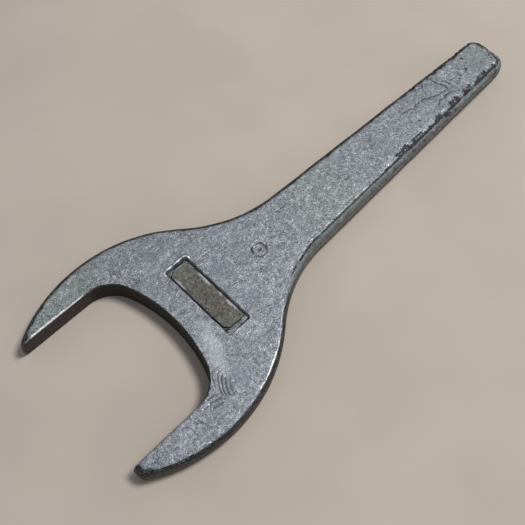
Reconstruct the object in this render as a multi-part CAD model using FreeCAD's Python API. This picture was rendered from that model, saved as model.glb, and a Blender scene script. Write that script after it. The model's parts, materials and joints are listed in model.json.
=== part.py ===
import FreeCAD, Part
import math
import os

# Single-ended open-end wrench with a fixed jaw, drop-forged in one piece.
#
# Frame, in millimetres: the origin is on the axis of the seated hexagon nut, level with the
# underside of the wrench.  +X runs along the handle, +Y across the jaws, +Z up.

# ---- Nut and jaw ---------------------------------------------------------------------------
nut_across_flats = 60.0          # hexagon that the jaws take
jaw_clearance = 0.4              # play between the nut and the two machined flats, together
nut_corner_clearance = 1.2       # room between the nut's inner corner and the throat
jaw_reach = 10.6                 # how far the jaw tips stand in front of the nut axis
jaw_tip_radius = 4.0             # blunt nose of each jaw
throat_back_radius = 62.0        # shallow curve at the bottom of the throat
throat_corner_radius = 14.0      # round between that curve and each flat
jaw_edge_break = 0.4             # small bevel on the machined edges
jaw_offset = 1.4                 # the machined jaw sits this far to +Y of the forging's middle

# ---- Forging, measured at the parting line --------------------------------------------------
forging_thickness = 10.0
jaw_wall = 13.4                  # steel beside each flat where the head is widest
head_side_radius = 63.0          # bulge of each side of the head
head_centre_ahead = 24.0         # widest point of the head, behind the nut axis
neck_radius = 62.0               # hollow between the head and the handle
handle_root_width = 30.8
handle_root_station = 80.0       # where the root width is taken
handle_end_width = 19.8
handle_end_station = 232.8       # far end of the handle
handle_corner_radius = 6.0

# ---- Section of the forging -----------------------------------------------------------------
draft_angle = 7.0                # degrees, each half of the die
flash_land_height = 1.2          # trimmed band that the flash leaves at mid thickness
forging_edge_radius = 2.6

# ---- Sunk panel and the plate that lies in it -----------------------------------------------
panel_length = 35.6              # across the head, at the top face
panel_width = 11.0
panel_depth = 1.6
panel_corner_radius = 1.2
panel_wall_slope = 20.0          # degrees from upright
panel_throat_wall = 10.2         # steel left between the throat and the panel
plate_thickness = 0.9
plate_side_gap = 0.25            # gap along both long walls and at one end
plate_end_gap = 1.9              # wider gap at the other end
plate_corner_radius = 0.8

# ---- Stamped mark: a plain ring round a punch dot -------------------------------------------
mark_diameter = 6.6
mark_line_width = 0.7
mark_dot_diameter = 1.6
mark_depth = 0.3
mark_behind_panel = 22.4         # from the panel's rear edge to the middle of the mark

# ---- Values that follow from the ones above -------------------------------------------------
jaw_half_gap = (nut_across_flats + jaw_clearance) / 2
throat_station = nut_across_flats / math.sqrt(3) + nut_corner_clearance
half_thickness = forging_thickness / 2
drafted_height = half_thickness - flash_land_height / 2
draft_run = drafted_height * math.tan(math.radians(draft_angle))
head_half_width = jaw_half_gap + jaw_wall
head_centre = FreeCAD.Vector(head_centre_ahead, head_half_width - head_side_radius, 0)
panel_station = throat_station + panel_throat_wall + panel_width / 2
panel_wall_run = math.tan(math.radians(panel_wall_slope))
panel_floor = forging_thickness - panel_depth
mark_station = panel_station + panel_width / 2 + mark_behind_panel
cutter_overrun = 1.0             # cutting tools run this far past the steel


def tangent_arc(centre, radius, start, end, z):
    """Arc at height z between the directions of start and end, the short way round."""
    first = (start - centre).normalize()
    last = (end - centre).normalize()
    middle = (first + last).normalize()
    lift = FreeCAD.Vector(0, 0, z)
    points = [centre + direction * radius + lift for direction in (first, middle, last)]
    return Part.Arc(*points).toShape()


def mirrored(point):
    """The same point on the other side of the centre line."""
    return FreeCAD.Vector(point.x, -point.y, point.z)


def start_point(edge):
    """Point where an edge begins."""
    return edge.firstVertex(True).Point


def end_point(edge):
    """Point where an edge ends."""
    return edge.lastVertex(True).Point


def neck_geometry():
    """Centre of the neck arc and its two tangent points, above the centre line."""
    root = FreeCAD.Vector(handle_root_station, handle_root_width / 2, 0)
    end = FreeCAD.Vector(handle_end_station, handle_end_width / 2, 0)
    along = (end - root).normalize()
    outward = FreeCAD.Vector(-along.y, along.x, 0)
    start = root + outward * neck_radius - head_centre
    reach = start.dot(along)
    excess = start.dot(start) - (head_side_radius + neck_radius) ** 2
    travel = -reach + math.sqrt(reach ** 2 - excess)
    centre = root + outward * neck_radius + along * travel
    on_head = head_centre + (centre - head_centre).normalize() * head_side_radius
    on_handle = centre - outward * neck_radius
    return centre, on_head, on_handle, along, outward


def end_corner_geometry(along, outward, on_handle):
    """Centre of the rounded corner at the handle's end and its two tangent points."""
    station = handle_end_station - handle_corner_radius
    travel = (station + outward.x * handle_corner_radius - on_handle.x) / along.x
    centre = on_handle + along * travel - outward * handle_corner_radius
    on_side = centre + outward * handle_corner_radius
    on_end = centre + FreeCAD.Vector(handle_corner_radius, 0, 0)
    return centre, on_side, on_end


def tip_geometry():
    """Centre of the blunt nose of a jaw and its two tangent points."""
    x = jaw_tip_radius - jaw_reach
    run = x - head_centre.x
    rise = math.sqrt((head_side_radius - jaw_tip_radius) ** 2 - run ** 2)
    centre = FreeCAD.Vector(x, head_centre.y + rise, 0)
    on_front = centre - FreeCAD.Vector(jaw_tip_radius, 0, 0)
    on_head = head_centre + (centre - head_centre).normalize() * head_side_radius
    return centre, on_front, on_head


def blank_outline(inset, z):
    """Closed outline of the forging at height z, moved inward by inset."""
    tip_centre, front_to_tip, tip_to_head = tip_geometry()
    neck_centre, head_to_neck, neck_to_handle, along, outward = neck_geometry()
    end_centre, side_to_corner, corner_to_end = end_corner_geometry(along, outward, neck_to_handle)
    tip = tangent_arc(tip_centre, jaw_tip_radius - inset, front_to_tip, tip_to_head, z)
    head = tangent_arc(head_centre, head_side_radius - inset, tip_to_head, head_to_neck, z)
    neck = tangent_arc(neck_centre, neck_radius + inset, head_to_neck, neck_to_handle, z)
    corner = tangent_arc(end_centre, handle_corner_radius - inset, side_to_corner, corner_to_end, z)
    side = Part.makeLine(end_point(neck), start_point(corner))
    upper = [tip, head, neck, side, corner]
    lower = [edge.mirror(FreeCAD.Vector(), FreeCAD.Vector(0, 1, 0)) for edge in upper]
    front = Part.makeLine(start_point(tip), mirrored(start_point(tip)))
    end = Part.makeLine(end_point(corner), mirrored(end_point(corner)))
    return Part.Wire(Part.__sortEdges__(upper + lower + [front, end]))


def lies_level(edge, z):
    """True if the whole edge lies at height z."""
    return abs(edge.BoundBox.ZMin - z) < 1e-4 and abs(edge.BoundBox.ZMax - z) < 1e-4


def forging_blank():
    """Both drafted halves and the flash land between them, with rounded edges."""
    low = half_thickness - flash_land_height / 2
    high = half_thickness + flash_land_height / 2
    bottom_face = blank_outline(draft_run, 0)
    top_face = blank_outline(draft_run, forging_thickness)
    land = Part.Face(blank_outline(0, low)).extrude(FreeCAD.Vector(0, 0, flash_land_height))
    lower = Part.makeLoft([bottom_face, blank_outline(0, low)], True, True)
    upper = Part.makeLoft([blank_outline(0, high), top_face], True, True)
    blank = land.multiFuse([lower, upper]).removeSplitter()
    rims = [edge for edge in blank.Edges if lies_level(edge, 0) or lies_level(edge, forging_thickness)]
    rounded = blank.makeFillet(forging_edge_radius, rims)
    return rounded.translated(FreeCAD.Vector(0, -jaw_offset, 0))


def throat_outline(outset, z):
    """Outline of the jaw opening at height z, moved into the steel by outset."""
    gap = jaw_half_gap + outset
    back_radius = throat_back_radius + outset
    corner_radius = throat_corner_radius + outset
    back_centre = FreeCAD.Vector(throat_station - throat_back_radius, 0, 0)
    corner_y = gap - corner_radius
    run = math.sqrt((back_radius - corner_radius) ** 2 - corner_y ** 2)
    corner_centre = FreeCAD.Vector(back_centre.x + run, corner_y, 0)
    on_flat = corner_centre + FreeCAD.Vector(0, corner_radius, 0)
    on_back = back_centre + (corner_centre - back_centre).normalize() * back_radius
    back = tangent_arc(back_centre, back_radius, on_back, mirrored(on_back), z)
    corner = tangent_arc(corner_centre, corner_radius, on_flat, on_back, z)
    mouth = FreeCAD.Vector(-jaw_reach - cutter_overrun, gap, z)
    flat = Part.makeLine(mouth, start_point(corner))
    upper = [flat, corner]
    lower = [edge.mirror(FreeCAD.Vector(), FreeCAD.Vector(0, 1, 0)) for edge in upper]
    front = Part.makeLine(mouth, mirrored(mouth))
    return Part.Wire(Part.__sortEdges__(upper + [back] + lower + [front]))


def jaw_cutter():
    """Straight cutter for the machined flats and the throat, flared to break both rims."""
    height = forging_thickness + 2 * cutter_overrun
    straight = Part.Face(throat_outline(0, -cutter_overrun)).extrude(FreeCAD.Vector(0, 0, height))
    flares = []
    for face, away in ((0, -1), (forging_thickness, 1)):
        inner = throat_outline(0, face - away * jaw_edge_break)
        outer = throat_outline(2 * jaw_edge_break, face + away * jaw_edge_break)
        flares.append(Part.makeLoft([inner, outer], True, True))
    return straight.multiFuse(flares)


def rounded_rectangle(length_x, length_y, radius, centre, z):
    """Closed wire of a rectangle with rounded corners, level with z."""
    half_x = length_x / 2 - radius
    half_y = length_y / 2 - radius
    arcs = []
    for quarter in range(4):
        sign_x = 1 if quarter in (0, 3) else -1
        sign_y = 1 if quarter in (0, 1) else -1
        corner = centre + FreeCAD.Vector(sign_x * half_x, sign_y * half_y, 0)
        along_x = corner + FreeCAD.Vector(sign_x, 0, 0)
        along_y = corner + FreeCAD.Vector(0, sign_y, 0)
        ends = (along_x, along_y) if quarter in (0, 2) else (along_y, along_x)
        arcs.append(tangent_arc(corner, radius, *ends, z))
    lines = [Part.makeLine(end_point(arcs[i]), start_point(arcs[(i + 1) % 4])) for i in range(4)]
    return Part.Wire(Part.__sortEdges__(arcs + lines))


def panel_outline(z):
    """Outline of the sunk panel at height z, wider towards the top because its walls slope."""
    centre = FreeCAD.Vector(panel_station, -jaw_offset, 0)
    spread = (z - forging_thickness) * panel_wall_run
    width = panel_width + 2 * spread
    length = panel_length + 2 * spread
    return rounded_rectangle(width, length, panel_corner_radius + spread, centre, z)


def panel_cutter():
    """Pocket of the sunk panel."""
    floor = panel_outline(panel_floor)
    mouth = panel_outline(forging_thickness + cutter_overrun)
    return Part.makeLoft([floor, mouth], True, True)


def mark_cutter():
    """Ring groove and punch dot of the stamped mark."""
    base = FreeCAD.Vector(mark_station, -jaw_offset, forging_thickness - mark_depth)
    height = mark_depth + cutter_overrun
    ring = Part.makeCylinder(mark_diameter / 2, height, base)
    core = Part.makeCylinder(mark_diameter / 2 - mark_line_width, height, base)
    dot = Part.makeCylinder(mark_dot_diameter / 2, height, base)
    return ring.cut(core).fuse(dot)


def wrench_body():
    """The whole forging with its machined jaw, sunk panel and stamped mark."""
    blank = forging_blank()
    return blank.cut(jaw_cutter()).cut(panel_cutter()).cut(mark_cutter())


def marking_plate():
    """Thin slab that lies on the panel's floor, clear of its walls."""
    floor_shrink = panel_depth * panel_wall_run
    width = panel_width - 2 * floor_shrink - 2 * plate_side_gap
    length = panel_length - 2 * floor_shrink - plate_side_gap - plate_end_gap
    middle = (plate_end_gap - plate_side_gap) / 2 - jaw_offset
    centre = FreeCAD.Vector(panel_station, middle, 0)
    outline = rounded_rectangle(width, length, plate_corner_radius, centre, panel_floor)
    return Part.Face(outline).extrude(FreeCAD.Vector(0, 0, plate_thickness))


os.makedirs("parts", exist_ok=True)
nodes = {"wrench_body": wrench_body(), "marking_plate": marking_plate()}
for name, shape in nodes.items():
    shape.exportStep("parts/" + name + ".step")
    print(name, "valid" if shape.isValid() else "NOT VALID", round(shape.Volume, 1), "mm3")
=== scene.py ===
"""Single-ended open-end wrench, forged in one piece, with a thin plate lying in its sunk panel.

Shapes are worked out in millimetres in the part's own frame and turned into metres when a mesh is made.
"""

from __future__ import annotations

import json
import logging
import math
from dataclasses import dataclass
from enum import Enum
from functools import cached_property

import bpy
import numpy as np
from mathutils import Euler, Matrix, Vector, noise
from mathutils.geometry import delaunay_2d_cdt

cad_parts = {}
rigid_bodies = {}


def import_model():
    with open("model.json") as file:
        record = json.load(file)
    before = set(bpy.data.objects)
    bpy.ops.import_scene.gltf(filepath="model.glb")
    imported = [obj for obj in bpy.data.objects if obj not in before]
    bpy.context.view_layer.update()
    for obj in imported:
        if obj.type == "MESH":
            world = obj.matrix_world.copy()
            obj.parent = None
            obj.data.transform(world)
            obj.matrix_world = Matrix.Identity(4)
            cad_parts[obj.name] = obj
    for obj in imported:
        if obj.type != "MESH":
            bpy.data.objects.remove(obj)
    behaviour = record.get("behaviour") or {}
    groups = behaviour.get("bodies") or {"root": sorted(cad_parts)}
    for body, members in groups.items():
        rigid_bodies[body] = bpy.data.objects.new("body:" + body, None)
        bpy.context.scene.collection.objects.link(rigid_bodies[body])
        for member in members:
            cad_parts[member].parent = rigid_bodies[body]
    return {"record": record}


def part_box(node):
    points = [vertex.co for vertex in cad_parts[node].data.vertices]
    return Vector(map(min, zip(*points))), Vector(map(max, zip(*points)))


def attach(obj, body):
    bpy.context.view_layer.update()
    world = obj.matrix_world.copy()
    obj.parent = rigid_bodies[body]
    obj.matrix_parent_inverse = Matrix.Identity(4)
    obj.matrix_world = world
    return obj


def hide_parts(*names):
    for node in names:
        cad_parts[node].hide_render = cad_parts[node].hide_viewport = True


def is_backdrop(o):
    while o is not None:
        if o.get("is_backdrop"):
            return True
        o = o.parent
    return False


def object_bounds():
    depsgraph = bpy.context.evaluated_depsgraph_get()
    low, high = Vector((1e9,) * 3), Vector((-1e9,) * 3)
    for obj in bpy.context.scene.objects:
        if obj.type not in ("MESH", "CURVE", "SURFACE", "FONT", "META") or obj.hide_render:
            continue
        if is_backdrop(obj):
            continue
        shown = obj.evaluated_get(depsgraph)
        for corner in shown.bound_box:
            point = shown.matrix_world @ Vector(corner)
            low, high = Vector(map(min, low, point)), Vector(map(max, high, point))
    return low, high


log = logging.getLogger("wrench")

Colour = tuple[float, float, float, float]
Span = tuple[float, float]

MM = 0.001

PANEL_WIDTH = 11.0
PANEL_LENGTH = 35.6
PANEL_CORNER = 1.2
PANEL_WALL_LEAN = math.radians(20)
PANEL_TO_MARK = 22.4
PLATE_CORNER = 0.8
SHARP_FROM = math.radians(50)


class Node(Enum):
    """CAD nodes that the visual pieces stand for."""

    BODY = "wrench_body"
    PLATE = "marking_plate"


class Slot(Enum):
    """Material slots of the record."""

    STEEL = "forged_steel"
    PLATE = "plate_finish"


class Run(Enum):
    """How a stretch of the wrench's edge was made."""

    FORGED = "forged"
    MACHINED = "machined"


class Layer(Enum):
    """Values painted on the meshes and read by the finishes."""

    # Dark scaly walls, with painted shade on the lower half, the +Y side and the +Y nose.
    WALL = "wall"
    JAW = "jaw"
    # Worn metal and painted highlights.
    WEAR_AND_HIGHLIGHT = "wear"
    # Near-black scale, with painted shade in the throat.
    SCALE_AND_SHADE = "scale"
    # Dirt, with painted shade in the panel's gap and on the plate's sides.
    DIRT_AND_SHADE = "dirt_and_shade"
    # Painted sheen on the top face.
    SHEEN = "pale"
    RUBBED = "rubbed"
    GREEN = "green"
    STAIN = "stain"


def soft_step(value: np.ndarray, low: float, high: float) -> np.ndarray:
    """Rise smoothly from 0 at low to 1 at high.

    Args:
        value: Numbers to map.
        low: Where the rise starts.
        high: Where the rise ends.

    Returns:
        Numbers from 0 to 1.
    """
    t = np.clip((value - low) / (high - low), 0.0, 1.0)
    return t * t * (3 - 2 * t)


def bell(value: np.ndarray, middle: float, width: float, power: int = 2) -> np.ndarray:
    """Rise smoothly to 1 at the middle and fall again, with a flatter top for a higher power."""
    return np.exp(-(((value - middle) / width) ** power))


def flat(plan: np.ndarray) -> np.ndarray:
    """Turn rows of x, y into rows of x, y, 0."""
    return np.column_stack([plan, np.zeros(len(plan))])


def lumps(points: np.ndarray, size: float, seed: int) -> np.ndarray:
    """Smooth noise with lumps of one size.

    Args:
        points: Rows of x, y, z in millimetres.
        size: Width of a lump in millimetres.
        seed: Picks another pattern.

    Returns:
        One number from about -1 to 1 for each row.
    """
    shift = Vector((17.3 * seed, 5.1 * seed, 9.7 * seed))
    return np.array([noise.noise(Vector(row) / size + shift) for row in points.tolist()])


def flat_distance(points: np.ndarray, line: np.ndarray, closed: bool = False) -> np.ndarray:
    """Distance in plan from points to a line of straight runs.

    Args:
        points: Rows of x, y.
        line: Rows of x, y, in order.
        closed: True if the last point joins the first.

    Returns:
        One distance for each point.
    """
    starts = line if closed else line[:-1]
    ends = np.roll(line, -1, axis=0) if closed else line[1:]
    runs = ends - starts
    squares = np.maximum((runs ** 2).sum(axis=1), 1e-12)
    nearest = []
    for block in np.array_split(points, max(1, len(points) // 1500)):
        away = block[:, None, :] - starts[None, :, :]
        along = np.clip((away * runs).sum(axis=2) / squares, 0.0, 1.0)
        gap = away - along[:, :, None] * runs
        nearest.append(np.sqrt((gap ** 2).sum(axis=2).min(axis=1)))
    return np.concatenate(nearest)


def inside(points: np.ndarray, line: np.ndarray) -> np.ndarray:
    """Tell which points lie inside a closed line.

    Args:
        points: Rows of x, y.
        line: Corners of the closed line, in order.

    Returns:
        True for each point inside.
    """
    result = np.zeros(len(points), dtype=bool)
    x, y = points[:, 0], points[:, 1]
    for start, end in zip(line, np.roll(line, -1, axis=0)):
        if start[1] == end[1]:
            continue
        crosses = (start[1] > y) != (end[1] > y)
        at = start[0] + (y - start[1]) * (end[0] - start[0]) / (end[1] - start[1])
        result ^= crosses & (x < at)
    return result


def thinned(points: np.ndarray, spacing: float) -> np.ndarray:
    """Keep one point in each small cell, earlier points first."""
    cells = np.round(points / spacing).astype(int)
    keep = np.unique(cells, axis=0, return_index=True)[1]
    return points[np.sort(keep)]


def make_mesh(name: str, points: np.ndarray, faces: list[tuple[int, ...]]) -> bpy.types.Object:
    """Make a smooth-shaded object from points in millimetres.

    Args:
        name: Name of the piece.
        points: Rows of x, y, z in millimetres.
        faces: Corner numbers of each face.

    Returns:
        The new object, linked to the scene.
    """
    mesh = bpy.data.meshes.new(name)
    mesh.from_pydata((points * MM).tolist(), [], faces)
    mesh.shade_smooth()
    piece = bpy.data.objects.new(name, mesh)
    bpy.context.scene.collection.objects.link(piece)
    return piece


def paint(piece: bpy.types.Object, layer: Layer, values: np.ndarray) -> None:
    """Write one number per point on a piece's mesh."""
    attribute = piece.data.attributes.new(layer.value, "FLOAT", "POINT")
    attribute.data.foreach_set("value", np.clip(values, 0.0, 1.0).astype(np.float32))


def band_faces(rows: int, count: int, clockwise: bool = False) -> list[tuple[int, ...]]:
    """Faces of a wall made of closed rings of points, one above the other.

    Args:
        rows: How many rings there are.
        count: Points in each ring.
        clockwise: True if the rings run clockwise, seen from above.

    Returns:
        Corner numbers of each face, facing out.
    """
    faces = []
    for low in range(0, (rows - 1) * count, count):
        for here in range(count):
            there = (here + 1) % count
            corners = (low + here, low + there, low + count + there, low + count + here)
            faces.append(corners[:1] + corners[:0:-1] if clockwise else corners)
    return faces


def cap_faces(
    rim: np.ndarray, within: np.ndarray, first_rim: int, first_within: int
) -> list[tuple[int, ...]]:
    """Triangles that fill a flat area, facing up.

    Args:
        rim: Closed outline in plan, in order.
        within: More points that lie inside it.
        first_rim: Number of the rim's first point in the mesh.
        first_within: Number of the first point inside in the mesh.

    Returns:
        Corner numbers of each triangle.
    """
    count = len(rim)
    points = [Vector(p) for p in np.vstack([rim, within]).tolist()]
    ring = [(i, (i + 1) % count) for i in range(count)]
    spots, _, faces, origins, _, _ = delaunay_2d_cdt(points, ring, [], 1, 1e-7)
    numbers = [*range(first_rim, first_rim + count), *range(first_within, first_within + len(within))]
    triangles = []
    for a, b, c in faces:
        turn = (spots[b] - spots[a]).cross(spots[c] - spots[a])
        corners = (a, b, c) if turn > 0 else (a, c, b)
        if all(origins[corner] for corner in corners):
            triangles.append(tuple(numbers[origins[corner][0]] for corner in corners))
    return triangles


@dataclass(frozen=True)
class Pit:
    """Round hollow in the top face, in millimetres."""

    x: float
    y: float
    radius: float
    depth: float

    def weight(self, plan: np.ndarray) -> np.ndarray:
        """Share of the full depth at each point of the plan."""
        away = np.hypot(plan[:, 0] - self.x, plan[:, 1] - self.y) / self.radius
        return 1 - soft_step(away, 0.35, 1.0)

    def samples(self) -> np.ndarray:
        """Points that a mesh needs to show the pit."""
        rings = [(0.0, 1), (0.45, 6), (0.8, 9), (1.1, 12)]
        spots = []
        for share, count in rings:
            for step in range(count):
                turn = 2 * math.pi * step / count
                reach = share * self.radius
                spots.append((self.x + reach * math.cos(turn), self.y + reach * math.sin(turn)))
        return np.array(spots)


@dataclass(frozen=True)
class Stroke:
    """Groove that wanders along a line of points, in millimetres."""

    points: tuple[tuple[float, float], ...]
    width: float
    depth: float
    wander: float = 0.15

    def line(self) -> np.ndarray:
        """Points along the groove, close together and slightly off the straight line."""
        corners = np.array(self.points)
        lengths = np.hypot(*np.diff(corners, axis=0).T)
        stations = np.concatenate([[0.0], np.cumsum(lengths)])
        steps = np.linspace(0, stations[-1], max(4, round(stations[-1] / 0.3)))
        line = np.column_stack([np.interp(steps, stations, corners[:, k]) for k in (0, 1)])
        drift = np.column_stack([lumps(flat(line), 1.7, seed) for seed in (31, 32)])
        return line + drift * self.wander * 2

    def weight(self, plan: np.ndarray) -> np.ndarray:
        """Share of the full depth at each point of the plan, fading at both ends."""
        line = self.line()
        away = flat_distance(plan, line) / (self.width / 2)
        to_ends = np.minimum(np.hypot(*(plan - line[0]).T), np.hypot(*(plan - line[-1]).T))
        return (1 - soft_step(away, 0.2, 1.0)) * soft_step(to_ends, 0.0, self.width * 1.6)

    def samples(self) -> np.ndarray:
        """Points that a mesh needs to show the groove."""
        line = self.line()
        along = np.gradient(line, axis=0)
        across = np.stack([-along[:, 1], along[:, 0]], axis=1)
        across /= np.linalg.norm(across, axis=1)[:, None]
        shares = (0.0, -0.5, 0.5, -1.1, 1.1)
        return np.vstack([line + across * share * self.width / 2 for share in shares])


@dataclass(frozen=True)
class Patch:
    """Soft oval area of the top face, in millimetres and degrees."""

    x: float
    y: float
    length: float
    width: float
    turn: float

    def weight(self, points: np.ndarray) -> np.ndarray:
        """Share of the patch at each point, with a ragged edge."""
        angle = math.radians(self.turn)
        dx, dy = points[:, 0] - self.x, points[:, 1] - self.y
        along = (dx * math.cos(angle) + dy * math.sin(angle)) / (self.length / 2)
        across = (dy * math.cos(angle) - dx * math.sin(angle)) / (self.width / 2)
        ragged = 0.35 * lumps(points, 3.0, 41)
        return 1 - soft_step(np.hypot(along, across) + ragged, 0.45, 1.1)


@dataclass(frozen=True)
class RoundedBox:
    """Rounded rectangle in plan, in millimetres."""

    x: float
    y: float
    length_x: float
    length_y: float
    radius: float

    def distance(self, plan: np.ndarray) -> np.ndarray:
        """Distance of each point from the outline, negative inside."""
        half = np.array([self.length_x, self.length_y]) / 2 - self.radius
        away = np.abs(plan - np.array([self.x, self.y])) - half
        outer = np.hypot(*np.maximum(away, 0).T)
        return outer + np.minimum(away.max(axis=1), 0) - self.radius

    def outline(self, offset: float, spacing: float) -> np.ndarray:
        """Closed row of points.

        Args:
            offset: How far outside the outline the points lie.
            spacing: Distance between points.

        Returns:
            Rows of x, y, anticlockwise.
        """
        radius = max(self.radius + offset, 0.05)
        half_x = self.length_x / 2 + offset - radius
        half_y = self.length_y / 2 + offset - radius
        turns = max(3, round(radius * math.pi / 2 / spacing))
        corners = []
        for quarter, (sx, sy) in enumerate(((1, 1), (-1, 1), (-1, -1), (1, -1))):
            for step in range(turns + 1):
                angle = math.pi / 2 * (quarter + step / turns)
                x = self.x + sx * half_x + radius * math.cos(angle)
                y = self.y + sy * half_y + radius * math.sin(angle)
                corners.append((x, y))
        row = []
        for here, there in zip(corners, corners[1:] + corners[:1]):
            steps = max(1, round(math.dist(here, there) / spacing))
            row += [Vector(here).lerp(Vector(there), step / steps)[:] for step in range(steps)]
        return np.array(row)


@dataclass(frozen=True)
class Level:
    """Height in the section, with how far each kind of edge stands back there."""

    z: float
    inset: float
    outset: float
    turn: float


@dataclass(frozen=True)
class ForgingSection:
    """Section through the edge of the forging, in millimetres."""

    thickness: float
    draft: float = math.radians(7)
    land: float = 1.2
    edge_radius: float = 2.6
    edge_break: float = 0.4

    def half(self, steps: int) -> list[Level]:
        """Levels from the parting line up to the top face.

        Args:
            steps: How many steps round the edge.

        Returns:
            The levels, lowest first.
        """
        half = self.thickness / 2
        lean = math.tan(self.draft)
        centre = half - self.edge_radius
        inset = (centre - self.land / 2) * lean + self.edge_radius / math.cos(self.draft)
        rows = [(0.0, 0.0, 0.0), (self.land / 2, 0.0, 0.0)]
        rows += [(h, (h - self.land / 2) * lean, 0.0) for h in (1.2, 1.9)]
        for step in range(steps + 1):
            turn = self.draft + (math.pi / 2 - self.draft) * step / steps
            height = centre + self.edge_radius * math.sin(turn)
            rows.append((height, inset - self.edge_radius * math.cos(turn), turn / (math.pi / 2)))
        levels = []
        for height, back, turn in rows:
            outset = max(0.0, height - half + self.edge_break)
            levels.append(Level(half + height, back, outset, turn))
        return levels

    def levels(self) -> list[Level]:
        """All levels, from the underside to the top face."""
        lower = [Level(self.thickness - l.z, l.inset, l.outset, l.turn) for l in self.half(7)[:0:-1]]
        return lower + self.half(17)


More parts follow.
